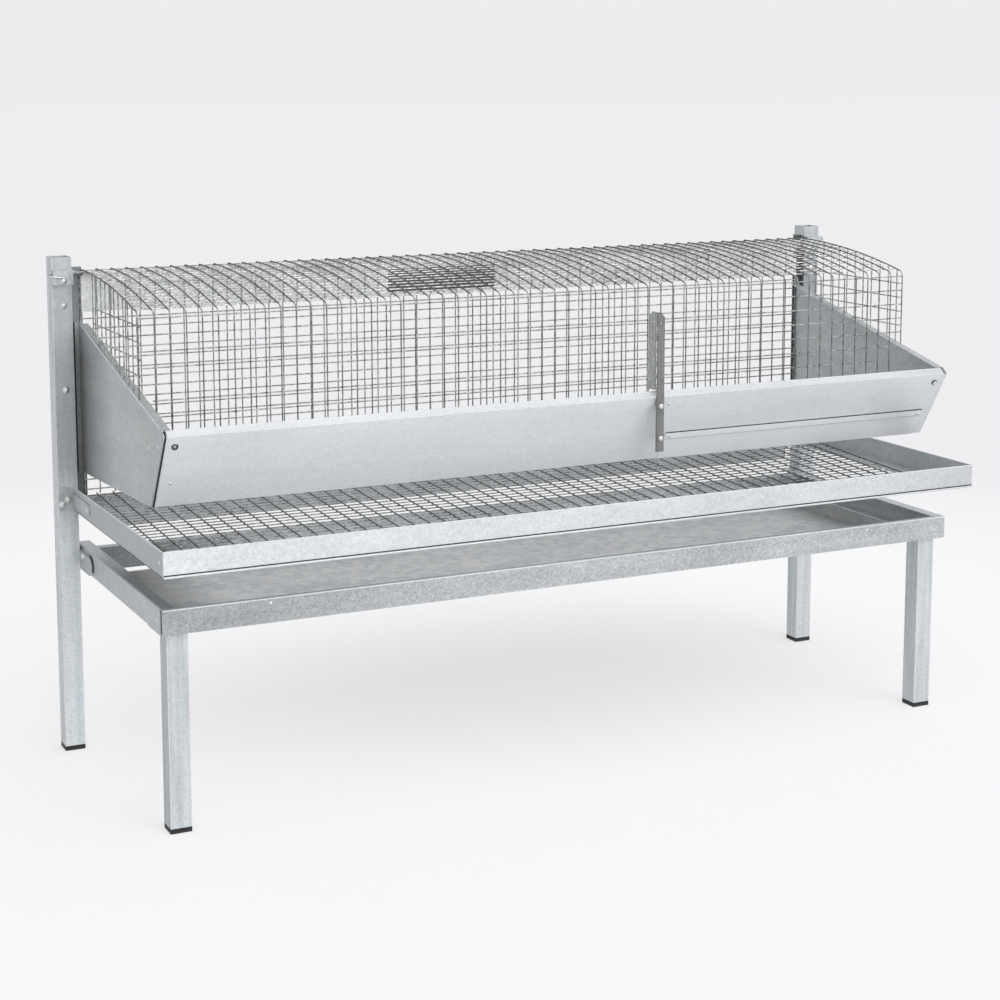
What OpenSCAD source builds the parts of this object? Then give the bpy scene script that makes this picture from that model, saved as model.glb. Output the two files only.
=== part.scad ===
// Quail cage on four square-tube legs. Two tall rear posts carry an egg tray with a sloping wire
// floor, two sheet side panels and a feed trough. A wire hood, hinged on a rod between the posts,
// closes the top, the front and both ends. A drawer under the tray catches the droppings.
// X runs along the length, Y from the front to the back, Z up. The feet stand on z = 0.

/* [Posts and legs] */
// Width of the square tube of the posts and legs
tube_w = 25; // [22:0.5:28]
// Wall of the square tube
tube_wall = 1.5; // [1:0.1:2.5]
// Distance across the outer faces of the rear posts
post_span = 1136; // [1090:1:1200]
// Height of the rear posts
post_h = 628; // [622:1:680]
// Distance from the outer face of a post to that of a front leg
leg_inset = 36; // [32:1:44]
// Distance from the front of the tray to the front of the legs
leg_setback = 53.5; // [51:0.5:60]
// Height of the plug's plate under each tube
foot_h = 6; // [4:0.5:10]
// Length of the plug inside each tube
plug_len = 12; // [8:1:20]
// Distance from the front of the tray to the back of the posts
cage_depth = 410; // [400:1:440]

/* [Base frame and drawer] */
// Thickness of the cleats between the posts and the base rails
cleat_t = 3; // [2:0.5:4]
// Height of the base rails' underside
base_z = 235; // [225:1:245]
// Height of the base rails
rail_h = 29; // [26:0.5:34]
// Sheet thickness of the rails, the tray and the drawer
rail_t = 1.2; // [0.8:0.1:1.5]
// Width of the rails' top flange
rail_top = 16; // [12:0.5:20]
// Width of the rails' bottom flange
rail_bottom = 7; // [5:0.5:7.5]
// Distance from the front of the tray to the drawer's fascia
fascia_setback = 41.5; // [38:0.5:43]
// Depth of the fascia's folded lips
fascia_lip = 5; // [3:0.5:6]
// Distance from the outside of the right-hand rail to the drawer's pan
pan_side = 80; // [40:1:120]
// Distance from the outside of the left-hand rail to the drawer's pan
pan_near_side = 18.5; // [16:0.5:40]
// Depth of the drawer's pan behind the fascia
pan_depth = 242; // [200:1:260]
// Height of the pan's side walls
pan_h = 22; // [16:0.5:23]
// Height of the pan's rear wall
pan_rear_h = 12; // [8:0.5:20]
// Distance from the posts' front to the rear base rail
rear_rail_gap = 22; // [18:1:30]

/* [Egg tray] */
// Distance from the outer face of a post to the tray's side wall
tray_inset = 18.5; // [14:0.5:20]
// Height of the tray's underside
tray_z = 311; // [300:1:320]
// Height of the tray's walls
tray_h = 29; // [26:0.5:34]
// Width of the side walls' bottom flange
tray_flange = 34; // [33:0.5:40]
// Width of the front wall's bottom flange
tray_lip = 15; // [12:0.5:18]
// Drop of the rear wall below the tray's underside
tray_rear_drop = 25; // [10:1:40]
// Rise of the wire floor from front to back
floor_rise = 16; // [10:0.5:24]
// Width of the turned-out hem under the front wall
hem_w = 2.5; // [1.5:0.5:4]

/* [Wire mesh] */
// Diameter of the mesh wire
wire_d = 1.6; // [1.4:0.1:2]
// Pitch of the welded mesh
pitch = 19; // [17:0.1:21]
// Closer pitch of the cross wires of the floor, the hood's top and the rear mesh
row_pitch = 12.7; // [11:0.1:15]
// Pitch of the floor's line wires
floor_pitch = 20.5; // [18:0.1:24]
// Gap left between two wires that are welded where they cross
weld_gap = 0.05; // [0.02:0.01:0.1]
// Diameter of the rod on which the hood swings
rod_d = 5; // [4:0.5:6]
// Distance from the posts' top down to the rod's axis
rod_drop = 19; // [16:0.5:24]
// Distance from the posts' front to the rod's axis
rod_gap = 4; // [3.5:0.1:5]
// Radius of the hood's crowned top
crown_r = 1080; // [1000:10:1600]
// Radius of the bend from the top to the front
bend_r = 8; // [6:0.5:12]
// Distance from the front of the tray to the hood's front wall
hood_setback = 136.5; // [134:0.5:140]
// Height of the lower end of the front wires
hood_foot_z = 400; // [398:1:410]

/* [Side panels and trough] */
// Sheet thickness of the side panels and the trough
sheet_t = 1; // [0.8:0.1:1.2]
// Gap between a post and the side panel beside it
panel_gap = 8.5; // [7:0.5:10]
// Distance from the front of the tray to the trough's front edge
trough_setback = 39; // [36:0.5:44]
// Height of the trough's front edge
trough_z = 458; // [450:1:462]
// Height of the front of the trough's floor
trough_floor_z = 370; // [362:1:376]
// How far the trough's front leans back at its foot
trough_lean = 53.5; // [45:0.5:56]
// Depth of the trough's folded lip
lip_w = 7.5; // [6:0.5:12]
// Rise of the trough's folded lip
lip_rise = 6.5; // [5:0.5:10]
// Height of the top of the trough's back wall
trough_back_z = 396; // [386:1:397]
// Distance from the rod's axis down to the side panels' rear top corner
panel_drop = 64; // [58:1:72]
// Height of the side panels' rear bottom corner
panel_foot_z = 357; // [348:1:362]
// Width of the flange on the side panels' sloping edge
panel_flange = 11; // [8:0.5:14]
// Gap between the trough's ends and the side panels
trough_end_gap = 4; // [2:0.5:6]
// Place of the joint between the two lengths of trough, as a share of half the trough
seam_share = 0.227; // [0.19:0.001:0.26]
// Height of the apron over the foot of the right-hand length
apron_h = 42; // [34:1:50]

/* [Centre upright] */
// Distance from the trough's joint to the upright's fold
upright_gap = 32; // [29:0.5:36]
// Width of the upright's front leg
upright_w = 10; // [8:0.5:12]
// Width of the upright's rear leg
upright_leg = 20; // [14:0.5:21]
// Height of the upright's top
upright_top = 563; // [540:1:570]
// Height of the upright's foot
upright_foot = 390; // [380:1:395]
// Thickness of the upright, the stiles and the clamps
plate_t = 1.5; // [1:0.1:2]

/* [Fasteners] */
// Diameter of a bolt's shank
bolt_d = 3; // [2.5:0.5:4]
// Diameter of a bolt's head
bolt_head = 6; // [5:0.5:8]
// Height of a bolt's head
bolt_head_h = 2.2; // [1.6:0.1:3]
// Clearance of a bolt in its hole, on the diameter
bolt_clear = 0.4; // [0.2:0.1:0.8]

/* [Hidden] */
$fn = 32;

// One overrun for every cut, and the small fit that lets two pieces touch without sharing metal
overrun = 1;
rest_gap = 0.3;
plug_clear = 0.2;
rod_clear = 0.1;

// Colours of the finishes
zinc = [0.74, 0.77, 0.78];
bright_zinc = [0.84, 0.86, 0.87];
dull_zinc = [0.47, 0.48, 0.48];
wire_zinc = [0.45, 0.46, 0.46];
black_plastic = [0.06, 0.06, 0.06];
dark_plate = [0.16, 0.16, 0.15];

// Lines of the plan: fronts and backs along Y, faces along X
stile_nut_h = 3.2;
depth_all = hem_w + cage_depth + plate_t + stile_nut_h;
tray_front = hem_w - depth_all / 2;
post_back = tray_front + cage_depth;
post_front = post_back - tube_w;
post_x = post_span / 2;
post_in = post_x - tube_w;
leg_x = post_x - leg_inset;
leg_front = tray_front + leg_setback;
base_x = post_in - cleat_t;
base_top = base_z + rail_h;
fascia_front = tray_front + fascia_setback;
fascia_back = fascia_front + rail_t;
rail_end_gap = 0.8;
rail_front = fascia_back + fascia_lip + rail_end_gap;
rail_back = post_back;
rear_rail_y = post_front - rear_rail_gap;
tray_x = post_x - tray_inset;
tray_top = tray_z + tray_h;
panel_x = post_in - panel_gap;
panel_in = panel_x - sheet_t;
trough_x = panel_in - trough_end_gap;
seam_x = seam_share * panel_in;
pan_left = base_x - pan_near_side;
pan_right = base_x - pan_side;
rod_z = post_h - rod_drop;
panel_rear_z = rod_z - panel_drop;
upright_x = seam_x - upright_gap;

// Wire layers: a crossing wire lies one layer from the wires that it crosses
wire_r = wire_d / 2;
layer = wire_d + weld_gap;
mesh_edge = 0.6;
cells_across = 2 * floor((panel_in - wire_r - mesh_edge) / pitch);
mesh_x = cells_across * pitch / 2;
rod_y = post_front - rod_gap;
hood_front = tray_front + hood_setback;
hood_depth = rod_y - hood_front;
curl_r = rod_d / 2 + rod_clear + wire_r;
crown_z = rod_z + curl_r;
crown_turn = asin((hood_depth - bend_r) / (crown_r - bend_r));
bend_y = hood_front + bend_r;
bend_z = crown_z - crown_r + (crown_r - bend_r) * cos(crown_turn);
curl_turn = 250;

// The rear stile's inner leg, against which the rear mesh and the side panels end
stile_set_share = 0.28;
stile_y = post_front + stile_set_share * tube_w;
stile_leg = 14;
stile_lap = 17;
stile_rise = 6;
stile_top = rod_z + stile_rise;
rear_wire_y = stile_y - wire_r - weld_gap;
rear_wire_foot = tray_z + rail_t + floor_rise;
rear_wire_top = rod_z - curl_r;

// Profile of the trough, outside, from the lip's tip round to the top of the back wall
trough_y = tray_front + trough_setback;
trough_back_gap = 2.5;
trough_back_y = hood_front - wire_r - trough_back_gap;
panel_bottom_slope = (trough_floor_z - panel_foot_z) / (stile_y - trough_y - trough_lean);
trough_back_foot = trough_floor_z - panel_bottom_slope * (trough_back_y - trough_y - trough_lean);
trough_path = [
    [trough_y + lip_w, trough_z + lip_rise],
    [trough_y, trough_z],
    [trough_y + trough_lean, trough_floor_z],
    [trough_back_y, trough_back_foot],
    [trough_back_y, trough_back_z]
];
slope_rise_share = (panel_rear_z - trough_path[0][1]) / (stile_y - trough_path[0][0]);
front_run = trough_path[2] - trough_path[1];
front_turn = atan2(trough_lean, trough_z - trough_floor_z);

// Unit vector, left-hand normal and mitred offset of a bent sheet's path
function unit(v) = v / norm(v);
function left_of(v) = [-v[1], v[0]];
function side_at(path, i) = left_of(unit(path[i + 1] - path[i]));
function mitre(a, b) = (a + b) / (1 + a * b);
function offset_at(path, i) =
    i == 0 ? side_at(path, 0)
    : i == len(path) - 1 ? side_at(path, i - 1)
    : mitre(side_at(path, i - 1), side_at(path, i));
function offset_path(path, t) = [for (i = [0 : len(path) - 1]) path[i] + t * offset_at(path, i)];
function reversed(list) = [for (i = [len(list) - 1 : -1 : 0]) list[i]];
// Point on the trough's front face at a height, the height of the panels' sloping edge and of the crown
function front_y_at(z) = trough_y + (trough_z - z) * tan(front_turn);
function slope_z(y) = trough_path[0][1] + (y - trough_path[0][0]) * slope_rise_share;
function slope_y(z) = trough_path[0][0] + (z - trough_path[0][1]) / slope_rise_share;
function crown_z_at(y) = crown_z - crown_r + sqrt(pow(crown_r, 2) - pow(rod_y - y, 2));

// A flat outline extruded along X, with its x drawn along Y and its y drawn along Z
module along_x(x, length) {
    translate([x, 0, 0]) rotate([90, 0, 90]) linear_extrude(length) children();
}
// A flat outline extruded along Y, with its y drawn along Z
module along_y(y, length) {
    translate([0, y + length, 0]) rotate([90, 0, 0]) linear_extrude(length) children();
}
// Section of a sheet bent along a path, thickened to the left of it
module bent(path, t) {
    polygon(concat(path, reversed(offset_path(path, t))));
}
module box(low, high) {
    translate(low) cube(high - low);
}
module on_left() {
    mirror([1, 0, 0]) children();
}
module both_sides() {
    children();
    on_left() children();
}
module wire_along_x(half, y, z) {
    translate([-half, y, z]) rotate([0, 90, 0]) cylinder(d = wire_d, h = 2 * half);
}
module wire_across(x0, x1, y, z) {
    translate([x0, y, z]) rotate([0, 90, 0]) cylinder(d = wire_d, h = x1 - x0);
}
module wire_along_y(x, y0, y1, z) {
    translate([x, y1, z]) rotate([90, 0, 0]) cylinder(d = wire_d, h = y1 - y0);
}
module wire_up(x, y, z0, z1) {
    translate([x, y, z0]) cylinder(d = wire_d, h = z1 - z0);
}
// Part of a wire ring in the YZ plane about a point, from one angle on through a turn
module wire_arc(x, y, z, radius, from, turn) {
    translate([x, y, z]) rotate([90, 0, 90]) rotate([0, 0, from])
        rotate_extrude(angle = turn) translate([radius, 0]) circle(d = wire_d);
}
// Bolts that go in along +Y, or along -X from the right-hand side, with the head's seat at a point
module bolt(length) {
    translate([0, 0, -bolt_head_h]) cylinder(d = bolt_head, h = bolt_head_h);
    cylinder(d = bolt_d, h = length);
}
module shank_hole(length) {
    translate([0, 0, -overrun]) cylinder(d = bolt_d + bolt_clear, h = length + 2 * overrun);
}
module into_y(at) {
    translate(at) rotate([-90, 0, 0]) children();
}
module out_of_y(at) {
    translate(at) rotate([90, 0, 0]) children();
}
module inward_x(at) {
    translate(at) rotate([0, -90, 0]) children();
}

// Places of the bolts on the right-hand side
stile_bolt_drops = [40.5, 146];
stile_bolt_zs = [for (d = stile_bolt_drops) rod_z - d];
stile_bolt_share = 0.55;
stile_bolt_x = post_x - stile_bolt_share * tube_w;
stile_side_rise = 11;
stile_side_z = tray_z + stile_side_rise;
clamp_bolt_drop = 9.5;
clamp_bolt_z = rod_z - clamp_bolt_drop;
clamp_foot = 14.5;
clamp_front = rod_y - rod_d / 2 - rod_clear - plate_t;
tube_mid_x = post_x - tube_w / 2;
cleat_bolt_shares = [[0.48, 0.48], [0.2, 0.3]];
cleat_bolts = [for (c = cleat_bolt_shares) [c[0] * tube_w, c[1] * tray_h]];
base_cleat_share = 0.66;
base_cleat_z = base_z + base_cleat_share * rail_h;
base_cleat_y = post_front + tube_w / 2;
rail_bolt_share = 0.6;
rail_bolt_y = post_front - rail_bolt_share * tube_w;
leg_bolt_drops = [9, 19];
leg_bolt_zs = [for (d = leg_bolt_drops) base_z - d];
leg_mid_x = leg_x - tube_w / 2;
upright_bolt_x = upright_x + upright_w / 2;
upright_bolt_drop = 11;
upright_bolt_rise = 17;
upright_bolt_zs = [trough_z - upright_bolt_drop, upright_foot + upright_bolt_rise];
trough_bolt_inset = 14;
trough_bolt_x = panel_in - trough_bolt_inset;
trough_bolt_drop = 12;
trough_bolt_z = trough_z - trough_bolt_drop;

// Rear posts: square tube, drilled for the clamp, the stile and the cleats
module rear_post() {
    color(zinc) difference() {
        box([post_in, post_front, foot_h], [post_x, post_back, post_h]);
        box([post_in + tube_wall, post_front + tube_wall, foot_h - overrun],
            [post_x - tube_wall, post_back - tube_wall, post_h + overrun]);
        for (z = stile_bolt_zs) into_y([stile_bolt_x, post_front, z]) shank_hole(tube_w);
        into_y([tube_mid_x, post_front, clamp_bolt_z]) shank_hole(tube_wall);
        for (c = cleat_bolts) into_y([post_x - c[0], post_front, tray_z + c[1]]) shank_hole(tube_wall);
        inward_x([post_x, base_cleat_y, base_cleat_z]) shank_hole(tube_w);
        inward_x([post_x, base_cleat_y, stile_side_z]) shank_hole(tube_w);
    }
}

// Front legs: the same tube, ending under the brackets of the base frame
bracket_t = 1.5;
leg_top = base_z - bracket_t;
module front_leg() {
    color(zinc) difference() {
        box([leg_x - tube_w, leg_front, foot_h], [leg_x, leg_front + tube_w, leg_top]);
        box([leg_x - tube_w + tube_wall, leg_front + tube_wall, foot_h - overrun],
            [leg_x - tube_wall, leg_front + tube_w - tube_wall, leg_top + overrun]);
        for (z = leg_bolt_zs) out_of_y([leg_mid_x, leg_front + tube_w, z]) shank_hole(tube_wall);
    }
}

// Moulded plugs that close the tubes and stand on the ground
module foot_plug(x, y) {
    grip = tube_wall + plug_clear;
    box([x, y, 0], [x + tube_w, y + tube_w, foot_h]);
    box([x + grip, y + grip, foot_h], [x + tube_w - grip, y + tube_w - grip, foot_h + plug_len]);
}
module foot_plugs() {
    color(black_plastic) both_sides() {
        foot_plug(post_in, post_front);
        foot_plug(leg_x - tube_w, leg_front);
    }
}

// Base rails: folded channels, open inwards, with a narrow flange below for the runners, and a
// crescent slot round the end of each cleat
cleat_share = 0.8;
cleat_h = cleat_share * rail_h;
base_cleat_run = 42;
crescent_w = 2.2;
crescent_shares = [0.2, 0.62];
module crescent() {
    intersection() {
        difference() {
            circle(d = cleat_h + 2 * crescent_w);
            circle(d = cleat_h);
        }
        translate([-cleat_h, -crescent_shares[0] * cleat_h])
            square([cleat_h, (crescent_shares[0] + crescent_shares[1]) * cleat_h]);
    }
}
rail_path = [
    [base_x - rail_bottom, base_z],
    [base_x, base_z],
    [base_x, base_top],
    [base_x - rail_top, base_top]
];
module base_rail() {
    color(zinc) difference() {
        along_y(rail_front, rail_back - rail_front) bent(rail_path, rail_t);
        inward_x([base_x, base_cleat_y, base_cleat_z]) shank_hole(rail_t);
        inward_x([base_x, rail_bolt_y, base_cleat_z]) shank_hole(rail_t);
        along_x(base_x - rail_t - overrun, rail_t + 2 * overrun)
            translate([post_front - base_cleat_run, base_z + cleat_h / 2]) crescent();
    }
}

// Rear rail: a channel with tongues that reach the side rails' webs between their flanges
rear_rail_flange = 14;
module base_rail_rear() {
    path = [
        [rear_rail_y + rear_rail_flange, base_z],
        [rear_rail_y, base_z],
        [rear_rail_y, base_top],
        [rear_rail_y + rear_rail_flange, base_top]
    ];
    channel_x = base_x - rail_top - rest_gap;
    tongue_x = base_x - rail_t;
    tongue_in = rail_t + rest_gap;
    color(zinc) {
        along_x(-channel_x, 2 * channel_x) bent(path, -rail_t);
        box([-tongue_x, rear_rail_y, base_z + tongue_in],
            [tongue_x, rear_rail_y + rail_t, base_top - tongue_in]);
    }
}

// Round-ended cleats between the side rails and the posts
module base_cleat() {
    mid_z = base_z + cleat_h / 2;
    color(zinc) difference() {
        along_x(base_x, post_in - base_x) {
            translate([post_front - base_cleat_run, base_z]) square([base_cleat_run + tube_w, cleat_h]);
            translate([post_front - base_cleat_run, mid_z]) circle(d = cleat_h);
        }
        inward_x([post_in, base_cleat_y, base_cleat_z]) shank_hole(post_in - base_x);
        inward_x([post_in, rail_bolt_y, base_cleat_z]) shank_hole(post_in - base_x);
    }
}

// Brackets: a plate on each leg's top under the side rail's flange, with a tab down inside the tube
bracket_run = 44;
bracket_tab = 26;
module leg_bracket() {
    grip = tube_wall + plug_clear;
    tab_back = leg_front + tube_w - tube_wall;
    color(zinc) difference() {
        union() {
            box([leg_x - tube_w, leg_front, leg_top], [base_x, leg_front + bracket_run, base_z]);
            box([leg_x - tube_w + grip, tab_back - bracket_t, leg_top - bracket_tab],
                [leg_x - grip, tab_back, base_z]);
        }
        for (z = leg_bolt_zs) out_of_y([leg_mid_x, tab_back, z]) shank_hole(bracket_t);
    }
}

// Runners: strips carried by the side rails' bottom flanges, with an upstand that guides the pan
runner_t = 1.5;
runner_inset = 1.5;
runner_start = rail_front + runner_inset;
runner_end = rear_rail_y - rest_gap;
runner_lap = 8;
runner_z = base_z + rail_t + runner_t;
guide_gap = 3;
guide_h = 12;
module pan_runner(pan_x) {
    color(zinc) {
        box([pan_x - runner_lap, runner_start, runner_z - runner_t],
            [base_x - rail_t, runner_end, runner_z]);
        box([pan_x + guide_gap, runner_start, runner_z - runner_t],
            [pan_x + guide_gap + runner_t, runner_end, runner_z + guide_h]);
    }
}

// Drawer: a folded fascia, and a pan with a low rear wall that slides on the runners
module drawer_fascia() {
    path = [
        [fascia_back + fascia_lip, base_z],
        [fascia_front, base_z],
        [fascia_front, base_top],
        [fascia_back + fascia_lip, base_top]
    ];
    color(bright_zinc) along_x(-base_x, 2 * base_x) bent(path, -rail_t);
}
pan_z = runner_z + rest_gap;
pan_tab = 14;
module drawer_pan() {
    pan_back = fascia_back + pan_depth;
    side = [
        [fascia_back, pan_z],
        [pan_back, pan_z],
        [pan_back, pan_z + pan_rear_h],
        [pan_back - pan_h, pan_z + pan_h],
        [fascia_back, pan_z + pan_h]
    ];
    color(zinc) {
        box([-pan_left, fascia_back, pan_z], [pan_right, pan_back, pan_z + rail_t]);
        box([-pan_left, pan_back - rail_t, pan_z], [pan_right, pan_back, pan_z + pan_rear_h]);
        box([-pan_left, fascia_back, pan_z], [pan_right, fascia_back + rail_t, pan_z + pan_tab]);
        along_x(-pan_left, rail_t) polygon(side);
        along_x(pan_right - rail_t, rail_t) polygon(side);
    }
}

// Egg tray: four folded walls, open in the middle, with the wire floor between front and back. The
// rear wall hangs down between the side walls' flanges
module tray_wall_side() {
    path = [[tray_x - tray_flange, tray_z], [tray_x, tray_z], [tray_x, tray_top]];
    run = post_front - tray_front - rail_t;
    color(bright_zinc) along_y(tray_front + rail_t, run) bent(path, rail_t);
}
module tray_wall_front() {
    flange_x = tray_x - tray_flange;
    color(bright_zinc) {
        box([-tray_x, tray_front, tray_z], [tray_x, tray_front + rail_t, tray_top]);
        box([-flange_x, tray_front, tray_z], [flange_x, tray_front + tray_lip, tray_z + rail_t]);
        box([-tray_x, tray_front - hem_w, tray_z], [tray_x, tray_front + rail_t, tray_z + rail_t]);
    }
}
floor_margin = 3;
floor_start = tray_front + tray_lip / 2;
floor_rows = 1 + floor((post_front - rail_t - floor_margin - floor_start) / row_pitch);
floor_len = (floor_rows - 1) * row_pitch;
floor_tilt = asin(floor_rise / floor_len);
floor_z = tray_z + rail_t + wire_r + weld_gap;
tray_rear_top = tray_z + rail_t + floor_rise;
tray_rear_y = post_front - rail_t;
tray_rear_flange = row_pitch + 2 * floor_margin;
module tray_wall_rear() {
    path = [
        [tray_rear_y - tray_rear_flange, tray_rear_top],
        [tray_rear_y, tray_rear_top],
        [tray_rear_y, tray_z + rail_t]
    ];
    half = tray_x - rail_t;
    skirt_x = tray_x - tray_flange - rest_gap;
    color(zinc) {
        along_x(-half, 2 * half) bent(path, -rail_t);
        box([-skirt_x, tray_rear_y - rail_t, tray_z - tray_rear_drop],
            [skirt_x, tray_rear_y, tray_rear_top - rail_t]);
    }
}

// Tray cleats: an angle on the post's front face, with a round-ended strap along the tray's wall
strap_run = 75;
strap_h = 14;
module tray_cleat() {
    strap_z = tray_z + tray_h / 2;
    color(zinc) difference() {
        union() {
            box([tray_x, post_front - plate_t, tray_z], [post_x - plate_t, post_front, tray_top]);
            along_x(tray_x, plate_t) {
                translate([post_front - strap_run, strap_z - strap_h / 2]) square([strap_run, strap_h]);
                translate([post_front - strap_run, strap_z]) circle(d = strap_h);
            }
        }
        for (c = cleat_bolts)
            into_y([post_x - c[0], post_front - plate_t, tray_z + c[1]]) shank_hole(plate_t);
    }
}

// Wire floor: cross wires below, resting on the front and rear flanges, line wires above them
module on_floor(along, up) {
    translate([0, floor_start, floor_z]) rotate([floor_tilt, 0, 0]) translate([0, along, up]) children();
}
floor_edge = 4;
floor_side_gap = 7;
floor_land = 10;
floor_left = -(tray_x - rail_t - floor_side_gap);
floor_cells = floor((tray_x - tray_flange - floor_land - floor_left) / floor_pitch);
floor_right = floor_left + floor_cells * floor_pitch;
module floor_line_wires() {
    color(wire_zinc) for (i = [0 : floor_cells]) on_floor(0, layer)
        wire_along_y(floor_left + i * floor_pitch, -floor_edge, floor_len + floor_edge, 0);
}
module floor_cross_wires() {
    color(wire_zinc) for (k = [0 : floor_rows - 1]) on_floor(k * row_pitch, 0)
        wire_across(floor_left - floor_edge, floor_right + floor_edge, 0, 0);
}

// Rear stiles: folded strips bolted through the posts, which carry the rear mesh and the panels
module rear_stile() {
    path = [
        [post_in + stile_lap, post_back],
        [post_in, post_back],
        [post_in, stile_y],
        [post_in - stile_leg, stile_y]
    ];
    color(dull_zinc) difference() {
        translate([0, 0, tray_z]) linear_extrude(stile_top - tray_z) bent(path, -plate_t);
        for (z = stile_bolt_zs) into_y([stile_bolt_x, post_back, z]) shank_hole(plate_t);
        inward_x([post_in, base_cleat_y, stile_side_z]) shank_hole(plate_t);
    }
}

// Rear mesh between the stiles
rear_row_rise = 6;
rear_row_z = rear_wire_foot + rear_row_rise;
rear_rows = 1 + floor((rear_wire_top - wire_r - rear_row_z) / row_pitch);
module rear_line_wires() {
    color(wire_zinc) for (i = [-cells_across / 2 : cells_across / 2])
        wire_up(i * pitch, rear_wire_y, rear_wire_foot, rear_wire_top);
}
module rear_cross_wires() {
    color(wire_zinc) for (k = [0 : rear_rows - 1])
        wire_along_x(mesh_x + wire_r / 2, rear_wire_y - layer, rear_row_z + k * row_pitch);
}

// Sheet band along the top of the rear mesh, with a plain dark plate on it
band_drop = 50;
band_front = rear_wire_y - layer - wire_r - weld_gap - sheet_t;
module rear_band() {
    color(zinc) box([-mesh_x, band_front, rod_z - band_drop], [mesh_x, band_front + sheet_t, rear_wire_top]);
}
plate_w = 156;
plate_h = 32;
plate_share = -0.223;
plate_x = plate_share * panel_in;
plate_drop = 47;
plate_z = rod_z - plate_drop;
module rear_plate() {
    front = band_front - weld_gap;
    color(dark_plate)
        box([plate_x, front - sheet_t, plate_z], [plate_x + plate_w, front, plate_z + plate_h]);
}

// Side panels: five-sided sheets, flanged inwards on the slope and behind the trough's front
front_flange = 22;
front_flange_shares = [0.06, 0.88];
slope_start = 3;
panel_joint = 3.5;
module side_panel() {
    slope_y0 = trough_path[0][0] + slope_start;
    slope_y1 = rear_wire_y - layer - wire_r - rest_gap;
    slope_edge = [[slope_y1, slope_z(slope_y1)], [slope_y0, slope_z(slope_y0)]];
    outline = [
        trough_path[0], trough_path[1], trough_path[2],
        [stile_y, panel_foot_z], [stile_y, panel_rear_z], slope_edge[0], slope_edge[1]
    ];
    inner = offset_path(trough_path, sheet_t);
    inner_run = inner[2] - inner[1];
    front_edge = [for (s = front_flange_shares) inner[1] + s * inner_run];
    color(zinc) difference() {
        union() {
            along_x(panel_in, sheet_t) polygon(outline);
            along_x(panel_x - panel_flange, panel_flange) bent(slope_edge, sheet_t);
            along_x(panel_x - front_flange, front_flange) bent(front_edge, sheet_t);
            box([panel_in, stile_y - sheet_t, panel_foot_z],
                [post_in - panel_joint, stile_y, panel_rear_z]);
        }
        into_y([trough_bolt_x, trough_y, trough_bolt_z]) shank_hole(front_flange);
    }
}

// Trough: two lengths folded to one profile. The right-hand one has a tongue behind the joint and a
// narrow slot above its apron
tongue_w = 40;
apron_band = 8;
apron_end = 10;
apron_start = 1;
apron_step = 1;
apron_slot = 1.4;
slot_land = 6;
apron_x = seam_x + apron_start;
apron_len = trough_x - apron_end - apron_x;
trough_foot = trough_path[2];
front_up = unit(-front_run);
front_out = left_of(front_up);
module above_apron() {
    low = trough_foot + apron_h * front_up;
    high = low + apron_slot * front_up;
    through = (sheet_t + overrun) * front_out;
    proud = overrun * front_out;
    along_x(apron_x + slot_land, apron_len - 2 * slot_land)
        polygon([low + proud, high + proud, high - through, low - through]);
}
module trough_left() {
    color(bright_zinc) difference() {
        along_x(-trough_x, trough_x + seam_x) bent(trough_path, sheet_t);
        into_y([-trough_bolt_x, trough_y, trough_bolt_z]) shank_hole(front_flange);
        into_y([upright_bolt_x, trough_y, upright_bolt_zs[0]]) shank_hole(trough_lean);
    }
}
module trough_right() {
    inner = offset_path(trough_path, sheet_t);
    color(bright_zinc) difference() {
        union() {
            along_x(seam_x, trough_x - seam_x) bent(trough_path, sheet_t);
            along_x(seam_x - tongue_w / 2, tongue_w) bent([inner[1], inner[2], inner[3]], sheet_t);
        }
        into_y([trough_bolt_x, trough_y, trough_bolt_z]) shank_hole(front_flange);
        above_apron();
        into_y([upright_bolt_x, trough_y, upright_bolt_zs[0]]) shank_hole(trough_lean);
    }
}

// Apron over the foot of the right-hand length, with a folded band along its top edge
module trough_apron() {
    skin = [trough_foot + apron_h * front_up, trough_foot];
    top = trough_foot + sheet_t * front_out;
    band = [top + apron_h * front_up, top + (apron_h - apron_band) * front_up];
    color(bright_zinc) along_x(apron_x, apron_len) {
        bent(skin, -sheet_t);
        bent(band, -apron_step);
    }
}

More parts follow.
